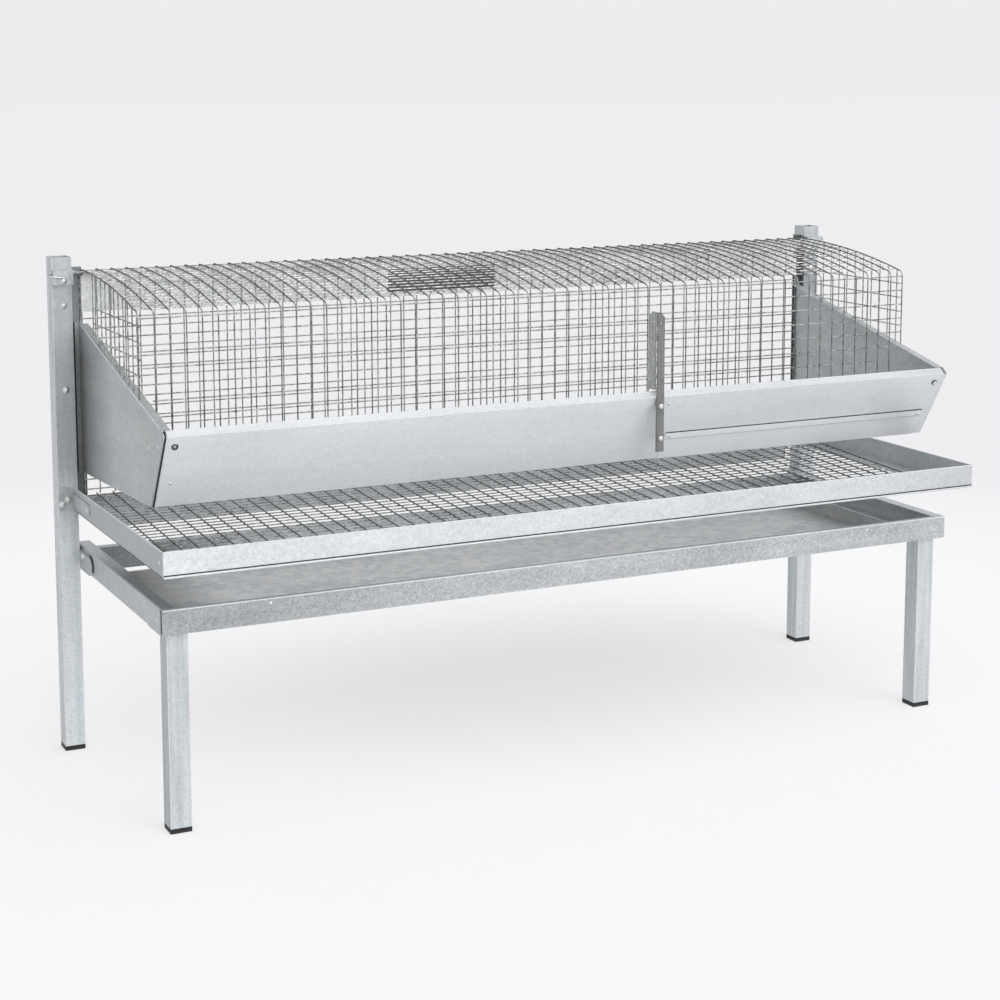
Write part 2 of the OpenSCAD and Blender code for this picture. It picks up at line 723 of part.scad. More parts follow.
// Centre upright: an angle in front of the trough, with clipped tops and slots along its fold
clip = 6;
upright_hole = 4;
upright_hole_drop = 13;
slot_w = 4;
slot_len = 11;
slot_count = 5;
slot_step = 16;
upright_front = trough_y - rest_gap - plate_t;
upright_leg_rise = 2;
upright_leg_foot = trough_path[0][1] + upright_leg_rise;
return_w = 4;
return_drop = 12;
module centre_upright() {
    front = [
        [upright_x, upright_foot],
        [upright_x + upright_w, upright_foot],
        [upright_x + upright_w, upright_top - clip],
        [upright_x + upright_w - clip, upright_top],
        [upright_x, upright_top]
    ];
    back = upright_front + upright_leg;
    leg = [
        [upright_front, upright_leg_foot],
        [back, upright_leg_foot],
        [back, upright_top - clip],
        [back - clip, upright_top],
        [upright_front, upright_top]
    ];
    hole_z = upright_top - upright_hole_drop;
    slot_foot = upright_leg_foot + slot_w;
    color(dull_zinc) difference() {
        union() {
            along_y(upright_front, plate_t) polygon(front);
            along_x(upright_x, plate_t) polygon(leg);
            box([upright_x, upright_front, upright_foot],
                [upright_x + plate_t, upright_front + return_w, trough_z - return_drop]);
        }
        for (z = upright_bolt_zs) into_y([upright_bolt_x, upright_front, z]) shank_hole(plate_t);
        translate([upright_x + upright_w / 2, upright_front - overrun, hole_z]) rotate([-90, 0, 0])
            cylinder(d = upright_hole, h = plate_t + 2 * overrun);
        translate([upright_x - overrun, upright_front + upright_leg / 2, hole_z]) rotate([0, 90, 0])
            cylinder(d = upright_hole, h = plate_t + 2 * overrun);
        for (k = [0 : slot_count - 1])
            translate([upright_x - overrun, upright_front + plate_t, slot_foot + k * slot_step])
                cube([plate_t + 2 * overrun, slot_w, slot_len]);
    }
}

// A sleeve at the upper bolt and a flat stay at the lower one hold the upright off the leaning trough
sleeve_wall = 1.2;
stay_w = 1.5;
stay_h = 9;
stay_run = 44;
stay_turn = 31;
module upright_sleeves() {
    start = upright_front + plate_t;
    sleeve_d = bolt_d + bolt_clear + 2 * sleeve_wall;
    color(zinc) difference() {
        union() {
            into_y([upright_bolt_x, start, upright_bolt_zs[0]])
                cylinder(d = sleeve_d, h = front_y_at(upright_bolt_zs[0] - sleeve_d) - start);
            translate([upright_bolt_x + bolt_d, start, upright_bolt_zs[1] - stay_h / 2])
                rotate([0, 0, -stay_turn]) cube([stay_w, stay_run, stay_h]);
        }
        along_x(upright_x, seam_x - upright_x + stay_run) polygon([
            trough_path[1], trough_path[2], trough_path[2] + [stay_run, 0], trough_path[1] + [stay_run, 0]
        ]);
        translate([upright_x, start - stay_run, upright_foot]) cube([stay_run, stay_run, stay_run]);
        into_y([upright_bolt_x, start, upright_bolt_zs[0]]) shank_hole(trough_lean);
    }
}

// Hinge rod, held to the posts by flat-fronted clamps
rod_end = 4;
module hinge_rod() {
    half = post_x + rod_end;
    color(wire_zinc) translate([-half, rod_y, rod_z]) rotate([0, 90, 0])
        cylinder(d = rod_d, h = 2 * half);
}
module rod_clamp() {
    color(zinc) difference() {
        box([post_in, clamp_front, rod_z - clamp_foot], [post_x, post_front, rod_z + rod_y - clamp_front]);
        translate([post_in - overrun, rod_y, rod_z]) rotate([0, 90, 0])
            cylinder(d = rod_d + 2 * rod_clear, h = tube_w + 2 * overrun);
        into_y([tube_mid_x, clamp_front, clamp_bolt_z]) shank_hole(post_front - clamp_front);
    }
}

// Hood top: line wires that curl round the rod and crown forwards, with cross wires under them that
// end at the end walls' wires. Each line wire runs on through the curl, the crown, the bend and the
// front, which are nodes of their own
top_rows = floor((hood_depth - bend_r) / row_pitch);
module hood_top_line_wires() {
    color(wire_zinc) for (i = [-cells_across / 2 : cells_across / 2])
        wire_arc(i * pitch, rod_y, crown_z - crown_r, crown_r, 90, crown_turn);
}
module hood_curl_wires() {
    color(wire_zinc) for (i = [-cells_across / 2 : cells_across / 2])
        wire_arc(i * pitch, rod_y, rod_z, curl_r, 90 - curl_turn, curl_turn);
}
module hood_top_cross_wires() {
    step = row_pitch / crown_r * 180 / PI;
    color(wire_zinc) for (k = [1 : top_rows])
        wire_along_x(end_x - wire_r - weld_gap, rod_y - (crown_r - layer) * sin(k * step),
            crown_z - crown_r + (crown_r - layer) * cos(k * step));
}

// Hood front: line wires bent over from the top, the outer two cut short above the panels' flanges
front_slope_z = slope_z(hood_front + wire_r) + rest_gap;
module hood_front_line_wires() {
    color(wire_zinc) for (i = [-cells_across / 2 : cells_across / 2])
        wire_up(i * pitch, hood_front, abs(i) == cells_across / 2 ? front_slope_z : hood_foot_z, bend_z);
}
module hood_bend_wires() {
    color(wire_zinc) for (i = [-cells_across / 2 : cells_across / 2])
        wire_arc(i * pitch, bend_y, bend_z, bend_r, 90 + crown_turn, 90 - crown_turn);
}
front_rows = floor((bend_z - hood_foot_z) / pitch);
module hood_front_cross_wires() {
    row_clear = wire_r + rest_gap;
    color(wire_zinc) for (k = [0 : front_rows]) {
        z = bend_z - k * pitch;
        full = z - row_clear > slope_z(hood_front + layer + wire_r);
        wire_along_x(full ? mesh_x + wire_r / 2 : mesh_x - pitch + 2 * wire_d, hood_front + layer, z);
    }
}

// Hood ends: line wires standing on the panels' flanges, just inside the outermost top wire
end_wires = floor((hood_depth - pitch) / pitch);
end_rows = floor((bend_z - slope_z(hood_front)) / pitch);
end_x = mesh_x - layer;
function end_y(j) = hood_front + (j + 0.5) * pitch;
module hood_end_line_wires() {
    color(wire_zinc) for (j = [0 : end_wires - 1])
        wire_up(end_x, end_y(j), slope_z(end_y(j) + wire_r) + rest_gap, crown_z_at(end_y(j)));
}
module hood_end_cross_wires() {
    row_clear = wire_r + rest_gap;
    start = hood_front + wire_d;
    last = end_y(end_wires - 1) + wire_d;
    color(wire_zinc) for (k = [0 : end_rows - 1]) {
        z = bend_z - (k + 0.5) * pitch;
        wire_along_y(end_x - layer, start, min(last, slope_y(z - row_clear) - row_clear), z);
    }
}

// Fasteners
module stile_bolts() {
    reach = tube_w + plate_t + stile_nut_h;
    color(bright_zinc) both_sides() for (z = stile_bolt_zs) {
        into_y([stile_bolt_x, post_front, z]) bolt(reach);
        into_y([stile_bolt_x, post_back + plate_t, z]) cylinder(d = bolt_head, h = stile_nut_h, $fn = 6);
    }
}
module stile_side_bolts() {
    color(bright_zinc) both_sides()
        inward_x([post_x, base_cleat_y, stile_side_z]) bolt(tube_w + plate_t + stile_nut_h);
}
module clamp_bolts() {
    color(bright_zinc) both_sides()
        into_y([tube_mid_x, clamp_front, clamp_bolt_z]) bolt(post_front - clamp_front + 2 * tube_wall);
}
module tray_cleat_bolts() {
    color(bright_zinc) both_sides() for (c = cleat_bolts)
        into_y([post_x - c[0], post_front - plate_t, tray_z + c[1]]) bolt(plate_t + 2 * tube_wall);
}
module base_cleat_bolts() {
    reach = post_in - base_x + rail_t + stile_nut_h;
    color(bright_zinc) both_sides() {
        inward_x([post_x, base_cleat_y, base_cleat_z]) bolt(tube_w + reach);
        inward_x([post_in, rail_bolt_y, base_cleat_z]) bolt(reach);
    }
}
module leg_bolts() {
    color(bright_zinc) both_sides() for (z = leg_bolt_zs)
        out_of_y([leg_mid_x, leg_front + tube_w, z]) bolt(bracket_t + 2 * tube_wall);
}
// The two bolts at the trough's upper corners seat square on its leaning front
module trough_bolts() {
    color(bright_zinc) both_sides()
        translate([trough_bolt_x, front_y_at(trough_bolt_z), trough_bolt_z])
            rotate([front_turn - 90, 0, 0]) translate([0, 0, -bolt_head_h])
                cylinder(d = bolt_head, h = bolt_head_h);
}
module upright_bolts() {
    reach = front_y_at(upright_bolt_zs[0]) - upright_front + stile_nut_h + bolt_d;
    color(bright_zinc) {
        into_y([upright_bolt_x, upright_front, upright_bolt_zs[0]]) bolt(reach);
        into_y([upright_bolt_x, upright_front, upright_bolt_zs[1]]) bolt(plate_t + stile_nut_h);
    }
}

on_left() rear_post();  // rear_post_left
rear_post();  // rear_post_right
on_left() front_leg();  // front_leg_left
front_leg();  // front_leg_right
foot_plugs();
on_left() base_rail();  // base_rail_left
base_rail();  // base_rail_right
base_rail_rear();
on_left() base_cleat();  // base_cleat_left
base_cleat();  // base_cleat_right
on_left() leg_bracket();  // leg_bracket_left
leg_bracket();  // leg_bracket_right
on_left() pan_runner(pan_left);  // pan_runner_left
pan_runner(pan_right);  // pan_runner_right
drawer_fascia();
drawer_pan();
on_left() tray_wall_side();  // tray_wall_left
tray_wall_side();  // tray_wall_right
tray_wall_front();
tray_wall_rear();
on_left() tray_cleat();  // tray_cleat_left
tray_cleat();  // tray_cleat_right
floor_line_wires();
floor_cross_wires();
on_left() rear_stile();  // rear_stile_left
rear_stile();  // rear_stile_right
rear_line_wires();
rear_cross_wires();
rear_band();
rear_plate();
on_left() side_panel();  // side_panel_left
side_panel();  // side_panel_right
trough_left();
trough_right();
trough_apron();
centre_upright();
upright_sleeves();
hinge_rod();
on_left() rod_clamp();  // rod_clamp_left
rod_clamp();  // rod_clamp_right
hood_curl_wires();
hood_top_line_wires();
hood_top_cross_wires();
hood_bend_wires();
hood_front_line_wires();
hood_front_cross_wires();
on_left() hood_end_line_wires();  // hood_end_left_line_wires
on_left() hood_end_cross_wires();  // hood_end_left_cross_wires
hood_end_line_wires();  // hood_end_right_line_wires
hood_end_cross_wires();  // hood_end_right_cross_wires
stile_bolts();
stile_side_bolts();
clamp_bolts();
tray_cleat_bolts();
base_cleat_bolts();
leg_bolts();
trough_bolts();
upright_bolts();
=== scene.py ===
import bpy
import numpy as np
from mathutils import Euler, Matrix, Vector


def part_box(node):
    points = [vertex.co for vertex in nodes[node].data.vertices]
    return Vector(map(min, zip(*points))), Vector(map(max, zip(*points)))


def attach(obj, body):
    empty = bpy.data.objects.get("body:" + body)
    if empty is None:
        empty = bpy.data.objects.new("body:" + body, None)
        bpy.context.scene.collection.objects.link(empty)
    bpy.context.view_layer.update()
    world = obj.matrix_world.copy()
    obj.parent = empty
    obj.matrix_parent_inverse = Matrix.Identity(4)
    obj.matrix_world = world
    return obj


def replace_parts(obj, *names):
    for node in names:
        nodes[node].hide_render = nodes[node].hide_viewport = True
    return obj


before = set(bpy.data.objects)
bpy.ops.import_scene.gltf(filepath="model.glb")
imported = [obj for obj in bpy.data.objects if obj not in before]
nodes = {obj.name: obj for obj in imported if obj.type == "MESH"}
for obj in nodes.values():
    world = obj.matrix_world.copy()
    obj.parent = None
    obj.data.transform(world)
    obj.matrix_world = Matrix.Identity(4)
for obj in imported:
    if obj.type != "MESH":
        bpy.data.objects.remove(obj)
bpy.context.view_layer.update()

# Rear posts and front legs. Square steel tube, hot-dip galvanised and cut to length, with a soft
# frosted surface, faint runs along the tube and open ends at the tops of the posts.
mm = 0.001


class Value:
    """A shader socket that takes part in sums: each operator adds one Math node to the socket's tree."""

    def __init__(self, tree, socket):
        self.tree, self.socket = tree, socket

    def put(self, socket, value):
        if isinstance(value, Value):
            self.tree.links.new(value.socket, socket)
        else:
            socket.default_value = value

    def node(self, kind, settings=None, inputs=None, out=0):
        """Any other node: its settings go first, then values or links."""
        made = self.tree.nodes.new("ShaderNode" + kind)
        for key, value in (settings or {}).items():
            setattr(made, key, value)
        for key, value in (inputs or {}).items():
            self.put(made.inputs[key], value)
        return Value(self.tree, made.outputs[out])

    def maths(self, operation, a, b=0.0):
        return self.node("Math", {"operation": operation}, {0: a, 1: b})

    def __add__(self, other):
        return self.maths("ADD", self, other)

    def __radd__(self, other):
        return self.maths("ADD", other, self)

    def __sub__(self, other):
        return self.maths("SUBTRACT", self, other)

    def __rsub__(self, other):
        return self.maths("SUBTRACT", other, self)

    def __mul__(self, other):
        return self.maths("MULTIPLY", self, other)

    def __rmul__(self, other):
        return self.maths("MULTIPLY", other, self)


def linear(r, g, b):
    """Scene-linear colour of 8-bit display values, by the sRGB curve."""
    c = np.array([r, g, b]) / 255
    return tuple(np.where(c <= 0.04045, c / 12.92, ((c + 0.055) / 1.055) ** 2.4))


def blank(name, metallic=0.0, roughness=0.5):
    """A material with one Principled shader: returns the material, its shader and Object coordinates."""
    material = bpy.data.materials.new(name)
    material.use_nodes = True
    tree = material.node_tree
    shader = tree.nodes["Principled BSDF"]
    shader.inputs["Metallic"].default_value = metallic
    shader.inputs["Roughness"].default_value = roughness
    place = Value(tree, tree.nodes.new("ShaderNodeTexCoord").outputs["Object"])
    return material, shader, place


def noise(place, scale, detail, out=0):
    """Plain noise over a place: its tone, or with out set to 1 its colour."""
    return place.node("TexNoise", None, {"Vector": place, "Scale": scale, "Detail": detail}, out)


def between(place, tone, first, second):
    """A colour that runs from a first to a second one, by a tone that is held from 0 to 1."""
    return place.node("MixRGB", {"use_clamp": True}, {0: tone, 1: (*first, 1), 2: (*second, 1)})


def bump(place, strength, distance, height):
    """A raised surface, by a height over the place."""
    return place.node("Bump", None, {"Strength": strength, "Distance": distance, "Height": height})


def zinc(name, pale, dark, metallic, roughness, flower, flower_share, streak, run, grain):
    """Galvanised sheet: crystal flowers of one size, in millimetres, tint the tone between a pale and a
    dark colour, long streaks lie along the rolling direction, and a fine grain raises the surface."""
    crystal_bend = 6 * mm
    material, shader, place = blank(name, metallic)
    warp = noise(place, scale=130.0, detail=2.0, out=1)
    bent = place.node("VectorMath", {"operation": "MULTIPLY_ADD"},
                      {0: warp, 1: (crystal_bend,) * 3, 2: place})
    crystal = place.node("TexVoronoi", None, {"Vector": bent, "Scale": 1 / (flower * mm)}, 1)
    crystal_tone = place.node("SeparateColor", None, {0: crystal})
    lines = noise(place.node("Mapping", None, {0: place, 3: run}), scale=14.0, detail=6.0)
    cloud = noise(place, scale=6.0, detail=4.0)
    speck = noise(place, scale=420.0, detail=3.0)
    tone = (crystal_tone - 0.5) * flower_share + (lines - 0.5) * streak + (cloud - 0.5) * 0.5 + 0.5
    tone = tone + (speck - 0.5) * grain
    place.put(shader.inputs["Base Color"], between(place, tone, dark, pale))
    place.put(shader.inputs["Roughness"], roughness + (crystal_tone - 0.5) * 0.10 + (cloud - 0.5) * 0.12)
    height = speck * 0.5 + crystal_tone * 0.3 + lines * 0.3
    place.put(shader.inputs["Normal"], bump(place, 0.2, 0.3 * mm, height))
    return material


def shade(material, share, *limits):
    """Darkens or lightens a material's colour over a region by scaling it by a share: under 1 darkens and
    over
    1 lightens. Most calls use it to paint shade or light; on the band it paints the lines of the rear mesh's
    line wires. The mask is the product of one ramp per limit, which rises from none to full along an axis,
    in millimetres. Side is X counted from the middle, and mesh is the distance to the nearest line wire of
    the mesh."""
    tree = material.node_tree
    base = tree.nodes["Principled BSDF"].inputs["Base Color"]
    now = Value(tree, base.links[0].from_socket)
    place = Value(tree, tree.nodes.new("ShaderNodeTexCoord").outputs["Object"])
    mask = 1.0
    for axis, none, full in limits:
        along = place.node("SeparateXYZ", None, {0: place}, {"y": 1, "z": 2}.get(axis, 0))
        if axis == "side":
            along = place.maths("ABSOLUTE", along)
        elif axis == "mesh":
            along = place.maths("PINGPONG", along, pitch * mm / 2)
        ramp = {0: along, 1: none * mm, 2: full * mm, 3: 0.0, 4: 1.0}
        mask = place.node("MapRange", {"clamp": True}, ramp) * mask
    scaled = {0: now, 3: mask * (share - 1) + 1}
    place.put(base, place.node("VectorMath", {"operation": "SCALE"}, scaled))


def dress(material, *names):
    """Gives CAD nodes their material."""
    for name in names:
        slots = nodes[name].data.materials
        slots.clear()
        slots.append(material)


def node_box(name):
    """A CAD node's low and high corners, in millimetres."""
    return [np.array(corner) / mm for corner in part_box(name)]


post_low, post_high = node_box("rear_post_right")
leg_low, leg_high = node_box("front_leg_right")
post_in, post_out, post_front = post_low[0], post_high[0], post_low[1]
post_face = ("y", post_front + 0.6, post_front + 0.2), ("y", post_front - 8.9, post_front - 3.9)
post_inside = ("side", post_in + 0.4, post_in + 0.1), ("side", post_in - 3.0, post_in - 0.5)
left_leg_outside = ("x", 0.8 - leg_high[0], 0.2 - leg_high[0]), ("y", 0, -100)
on_left, on_right = ("x", 0, -500), ("x", 0, 500)
above_tray, below_tray = ("z", 300, 400), ("z", 310, 260)
beside_hood = ("z", 450, 480), ("z", 606, 602)
beside_mesh = ("z", 330, 360), ("z", 610, 600)
tube_zinc = zinc("tube_zinc", linear(222, 227, 229), linear(168, 175, 178), metallic=0.4, roughness=0.42,
                 flower=3.5, flower_share=0.15, streak=1.1, run=(9.0, 9.0, 0.5), grain=0.9)
# Painted shade and light on the tubes: shade on the posts' fronts above the tray and on the right post's
# front beside the hood, light on the left post's front below the tray, and shade on the left front leg's
# outer face and on the posts' inner faces beside the mesh.
shade(tube_zinc, 0.84, above_tray, *post_face)
shade(tube_zinc, 1.22, below_tray, on_left, *post_face)
shade(tube_zinc, 0.63, *beside_hood, on_right, *post_face)
shade(tube_zinc, 0.80, *left_leg_outside)
shade(tube_zinc, 0.4, *beside_mesh, *post_inside)
dress(tube_zinc, "rear_post_left", "rear_post_right", "front_leg_left", "front_leg_right")

# Foot plugs. Black plastic, moulded, pressed into the tube ends, scuffed grey where they touch
# the ground.
scuff_top = 3 * mm
plug_black, plug_shader, plug_place = blank("plug_black", metallic=0.0, roughness=0.6)
plug_grain = noise(plug_place, scale=420.0, detail=3.0)
plug_height = plug_place.node("SeparateXYZ", None, {0: plug_place}, 2)
plug_scuff = plug_place.node("MapRange", {"clamp": True},
                             {0: plug_height, 1: 0.0, 2: scuff_top, 3: 0.5, 4: 0.0})
plug_place.put(plug_shader.inputs["Base Color"],
               between(plug_place, plug_scuff * plug_grain, linear(22, 22, 23), linear(92, 90, 86)))
plug_place.put(plug_shader.inputs["Roughness"], 0.48 + plug_grain * 0.25)
plug_place.put(plug_shader.inputs["Normal"], bump(plug_place, 0.3, 0.3 * mm, plug_grain))
dress(plug_black, "foot_plugs")

# Base frame. Folded channels of spangled galvanised sheet, the cleats that bolt them to the posts,
# the brackets that carry them on the legs, and the runners for the drawer.
rail_low, rail_high = node_box("base_rail_right")
rail_x, rail_front, rail_top = rail_high[0], rail_low[1], rail_high[2]
right_rail = ("x", 500, rail_x - 5), ("z", rail_top + 6, rail_top + 2)
left_flange = ("z", rail_top - 1.0, rail_top - 0.4), ("x", 2.2 - rail_x, 3.0 - rail_x), on_left
flange_front = ("y", 60, 0)
frame_zinc = zinc("frame_zinc", linear(210, 214, 216), linear(158, 164, 166), metallic=0.45, roughness=0.42,
                  flower=5, flower_share=0.35, streak=0.5, run=(3.0, 0.7, 3.0), grain=0.9)
# Painted light on the right rail's inner face, and the egg tray's painted shadow on the left rail's top
# flange towards the front.
shade(frame_zinc, 1.35, *right_rail)
shade(frame_zinc, 0.45, flange_front, *left_flange)
dress(frame_zinc, "base_rail_left", "base_rail_right", "base_cleat_left", "base_cleat_right",
      "leg_bracket_left", "leg_bracket_right", "pan_runner_left", "pan_runner_right")
rear_rail_low, rear_rail_high = node_box("base_rail_rear")
rear_rail_face = ("y", rear_rail_low[1] + 0.9, rear_rail_low[1] + 0.4)
rear_rail_left = ("x", -300, -440)
rear_rail_zinc = zinc("rear_rail_zinc", linear(210, 214, 216), linear(158, 164, 166), metallic=0.45,
                      roughness=0.42, flower=5, flower_share=0.35, streak=0.5, run=(0.7, 3.0, 3.0), grain=0.9)
# Painted shade on the rear rail's front face towards its left end.
shade(rear_rail_zinc, 0.45, rear_rail_face, rear_rail_left)
dress(rear_rail_zinc, "base_rail_rear")

# Drawer. A folded fascia of coarse spangled sheet closes the front of the base frame, and a pan of
# thinner, greyer sheet slides behind it. The pan's colour is raised close to white, painted light where it
# lies in the egg tray's shade.
fascia_left = ("x", -200, -420)
fascia_zinc = zinc("fascia_zinc", linear(216, 219, 221), linear(140, 145, 148), metallic=0.35, roughness=0.42,
                   flower=2.2, flower_share=0.38, streak=0.6, run=(0.6, 3.0, 3.0), grain=0.9)
# Painted shade on the fascia towards its left end.
shade(fascia_zinc, 0.80, fascia_left)
dress(fascia_zinc, "drawer_fascia")
pan_left_end, pan_right_end = ("x", -420, -520), ("x", 400, 457)
pan_zinc = zinc("pan_zinc", linear(255, 255, 255), linear(218, 222, 224), metallic=0.15, roughness=0.5,
                flower=10, flower_share=0.7, streak=1.0, run=(0.5, 2.0, 2.0), grain=0.5)
# Painted shade on the pan under the egg tray: deep at its left end, lighter at its right-hand end.
shade(pan_zinc, 0.26, pan_left_end)
shade(pan_zinc, 0.6, pan_right_end)
dress(pan_zinc, "drawer_pan")

# Egg tray. Four folded walls of fresh, nearly white galvanised sheet, with cleats and straps that
# hold it to the posts.
tray_low, tray_high = node_box("tray_wall_front")
tray_x = tray_high[0]
tray_left_part, tray_right_end = ("x", -100, -400), ("x", 400, 530)
left_wall_face = ("x", 1.5 - tray_x, -tray_x)
tray_zinc = zinc("tray_zinc", linear(232, 234, 236), linear(184, 189, 192), metallic=0.3, roughness=0.4,
                 flower=3.5, flower_share=0.25, streak=0.5, run=(0.5, 0.5, 3.0), grain=0.9)
shade(tray_zinc, 0.84, tray_right_end)
shade(tray_zinc, 1.10, tray_left_part)
dress(tray_zinc, "tray_wall_front")
# The side and rear walls take a darker copy of the tray's zinc, with a coarser spangle of its own, whose
# darkness paints the shade inside the tray; the left wall's outer face takes more painted shade.
tray_walls_shaded = zinc("tray_walls_shaded", linear(222, 226, 227), linear(178, 184, 186), metallic=0.4, roughness=0.45,
                 flower=6, flower_share=0.3, streak=0.6, run=(3.0, 0.5, 3.0), grain=0.8)
shade(tray_walls_shaded, 0.75, left_wall_face)
dress(tray_walls_shaded, "tray_wall_left", "tray_wall_right", "tray_wall_rear")
dress(frame_zinc, "tray_cleat_left", "tray_cleat_right")

# Wire mesh. Drawn steel wire, welded where it crosses and galvanised afterwards, so the zinc lies
# in small lumps along the wire and fills the corners of each weld.


def wire(name, pale, dark):
    """Galvanised wire: lumps of zinc a few millimetres long, over slow changes of tone."""
    material, shader, place = blank(name, metallic=0.45, roughness=0.42)
    lump = noise(place, scale=210.0, detail=3.0)
    cloud = noise(place, scale=14.0, detail=2.0)
    tone = (lump - 0.5) * 3.2 + (cloud - 0.5) * 1.2 + 0.5
    place.put(shader.inputs["Base Color"], between(place, tone, dark, pale))
    place.put(shader.inputs["Roughness"], 0.3 + lump * 0.25)
    place.put(shader.inputs["Normal"], bump(place, 0.5, 0.6 * mm, lump))
    return material


wire_zinc = wire("wire_zinc", linear(198, 200, 200), linear(118, 120, 120))
dress(wire_zinc, *[name for name in nodes if name.endswith("_wires")])
# Darker and paler copies of the same wire paint shade and light on some runs: shade on the hood's top and
# curled line wires and on the floor's line wires, half shade on the hood's front line wires, and light on the
# hood's top cross wires.
wire_dark = wire("wire_dark", linear(112, 113, 112), linear(62, 63, 63))
dress(wire_dark, "hood_top_line_wires", "hood_curl_wires", "floor_line_wires")
wire_half_shaded = wire("wire_half_shaded", linear(160, 162, 162), linear(84, 86, 86))
dress(wire_half_shaded, "hood_front_line_wires")
wire_lit = wire("wire_lit", linear(252, 252, 252), linear(150, 152, 152))
dress(wire_lit, "hood_top_cross_wires")


def mesh_piece(name, points, faces, material, body):
    """An object whose place is in its mesh, riding on a body: its points are given in millimetres."""
    mesh = bpy.data.meshes.new(name)
    mesh.from_pydata(np.asarray(points).reshape(-1, 3) * mm, [], np.asarray(faces).tolist())
    mesh.materials.append(material)
    mesh.polygons.foreach_set("use_smooth", np.full(len(mesh.polygons), True))
    mesh.update()
    piece = bpy.data.objects.new(name, mesh)
    bpy.context.scene.collection.objects.link(piece)
    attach(piece, body)
    return piece


def grid_faces(rows, columns, close_columns=True):
    """Quads of a grid whose columns run round: each joins a point, its neighbour and the next row's pair."""
    r, c = np.meshgrid(np.arange(rows - 1), np.arange(columns - (not close_columns)), indexing="ij")
    n = (c + 1) % columns
    quads = np.stack([r * columns + c, r * columns + n, (r + 1) * columns + n, (r + 1) * columns + c], -1)
    return quads.reshape(-1, 4)


def joined(parts, faces):
    """Like shapes as one mesh: points one after another, faces shifted by the points before."""
    shift = np.arange(len(parts))[:, None, None] * len(parts[0])
    return np.concatenate(parts), (faces[None] + shift).reshape(-1, 4)


def weld(along, across, through):
    """A weld bead: a sphere of six by four points, open at its tips and stretched by three half lengths."""
    columns, rows, tip = 6, 4, 0.12
    up = np.linspace(tip, np.pi - tip, rows)[:, None]
    turn = np.linspace(0, 2 * np.pi, columns, endpoint=False)[None]
    ball = np.stack([np.sin(up) * np.cos(turn) * along, np.sin(up) * np.sin(turn) * across,
                     np.cos(up) * through + 0 * turn], -1).reshape(-1, 3)
    return ball, grid_faces(rows, columns)


pitch = 19
row_pitch = 12.7
floor_pitch = 20.5
wire_r = 0.8
weld_gap = 0.05
layer = 2 * wire_r + weld_gap
bead, bead_faces = weld(along=1.2, across=1.2, through=1.15)


def lay_beads(name, places, body):
    """Weld beads at every crossing of a mesh wall."""
    piece = mesh_piece(name, *joined(places[:, None] + bead, bead_faces), wire_zinc, body)


def crossings(a, b):
    """Every pair of two rows of values, as two flat arrays."""
    p, q = np.meshgrid(a, b)
    return p.ravel(), q.ravel()


def steps(length, step):
    """The distances at which wires stand along a length, from its start."""
    return np.arange(round(length / step) + 1) * step


floor_low, floor_high = node_box("floor_cross_wires")
_, floor_run, floor_rise = floor_high - floor_low - 2 * wire_r
floor_tilt = np.arctan2(floor_rise, floor_run)
line_low, line_high = node_box("floor_line_wires")
floor_x, floor_s = crossings(line_low[0] + wire_r + steps(line_high[0] - line_low[0], floor_pitch),
                             steps(np.hypot(floor_run, floor_rise), row_pitch))
lay_beads("floor_welds", np.stack([
    floor_x,
    floor_low[1] + wire_r + floor_s * np.cos(floor_tilt) - layer / 2 * np.sin(floor_tilt),
    floor_low[2] + wire_r + floor_s * np.sin(floor_tilt) + layer / 2 * np.cos(floor_tilt)], -1), "stand")

# Rear stiles and rear mesh. Dull folded strips behind the posts' inner edges, with the mesh laid
# against them, a sheet band along its top and a bare dark plate on the band.
panel_low, panel_high = node_box("side_panel_right")
panel_out, panel_foot, panel_top = panel_high[0], panel_low[2], panel_high[2]
stile_front = node_box("rear_stile_right")[0][1]
stile_face = ("y", stile_front + 0.5, stile_front + 0.2)
past_panel = ("side", panel_out - 0.3, panel_out - 0.1)
beside_panel = ("z", panel_top + 1.2, panel_top + 0.5), ("z", panel_foot - 1.0, panel_foot)
below_panel, above_panel = ("z", panel_foot, panel_foot - 1.0), ("z", panel_top + 0.5, panel_top + 1.2)
for stile_node in ("rear_stile_left", "rear_stile_right"):
    stile_zinc = zinc(stile_node + "_zinc", linear(176, 180, 181), linear(136, 140, 141), metallic=0.45,
                      roughness=0.48, flower=6, flower_share=0.3, streak=0.6, run=(3.0, 3.0, 0.6), grain=0.5)
    # Painted shade on the stiles' front faces: near black in the left stile's gap beside the side panel, with
    # lighter shade below and above the panel, and shade all over the right stile's front face.
    if stile_node == "rear_stile_left":
        shade(stile_zinc, 0.04, stile_face, past_panel, *beside_panel)
        shade(stile_zinc, 0.36, stile_face, below_panel)
        shade(stile_zinc, 0.75, stile_face, above_panel)
    else:
        shade(stile_zinc, 0.25, stile_face)
    dress(stile_zinc, stile_node)
band_lines = ("mesh", 1.3, 0.9)
band_zinc = zinc("band_zinc", linear(246, 247, 247), linear(198, 200, 200), metallic=0.35, roughness=0.5,
                 flower=6, flower_share=0.3, streak=0.9, run=(0.5, 3.0, 3.0), grain=1.2)
shade(band_zinc, 0.40, band_lines)
dress(band_zinc, "rear_band")
half_lines = 28
line_x = np.arange(-half_lines, half_lines + 1) * pitch
rear_low, rear_high = node_box("rear_cross_wires")
rear_x, rear_z = crossings(line_x, rear_low[2] + wire_r + steps(rear_high[2] - rear_low[2], row_pitch))
lay_beads("rear_welds", np.stack(
    [rear_x, np.full(rear_x.shape, rear_high[1] + weld_gap / 2), rear_z], -1), "stand")
plate_dark, plate_shader, plate_place = blank("plate_dark", metallic=0.2, roughness=0.55)
